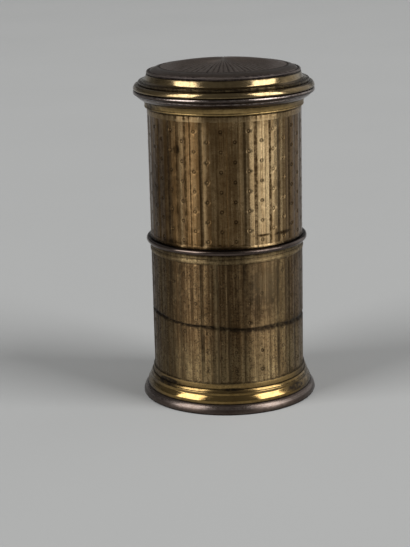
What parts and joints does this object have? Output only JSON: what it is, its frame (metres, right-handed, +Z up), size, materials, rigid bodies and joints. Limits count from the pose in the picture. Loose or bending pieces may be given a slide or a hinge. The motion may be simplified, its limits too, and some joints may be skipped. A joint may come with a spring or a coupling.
{
  "type": "cylindrical etui",
  "caption": "Small upright cylindrical gilt-metal etui with a footed lower box, an upper box that slides over its sleeve, engine-turned walls and a domed plug lid.",
  "frame": {"origin": "centre of the foot, on the plane that the foot ring stands on", "axes": "+Z up along the axis that every piece is turned about"},
  "size_m": [0.04, 0.04, 0.0755],
  "materials": {
    "gilt": "worn gilding over silver, satin with rubbed edges",
    "worn_silver": "silver with the gilding rubbed off, lightly tarnished",
    "dull_silver": "dull tarnished silver, finely engine-turned"
  },
  "bodies": {
    "lower_box": {"foot_ring": "worn_silver", "base_plate": "gilt", "foot_moulding": "gilt", "foot_collar": "gilt", "lower_tube": "gilt", "lower_mouth_bead": "worn_silver", "lower_sleeve": "gilt"},
    "upper_box": {"upper_tube": "gilt", "upper_floor": "gilt", "neck_collar": "gilt", "upper_mouth_ring": "worn_silver"},
    "lid": {"lid_bezel": "gilt", "lid_torus": "gilt", "lid_fillet": "gilt", "lid_cavetto": "gilt", "lid_border": "dull_silver", "lid_disc": "dull_silver"}
  },
  "joints": [
    {"name": "upper_lift", "type": "slide", "parent": "lower_box", "child": "upper_box", "axis": [0, 0, 1], "range_m": [0, 0.025]},
    {"name": "lid_lift", "type": "slide", "parent": "upper_box", "child": "lid", "axis": [0, 0, 1], "range_m": [0, 0.02]}
  ]
}
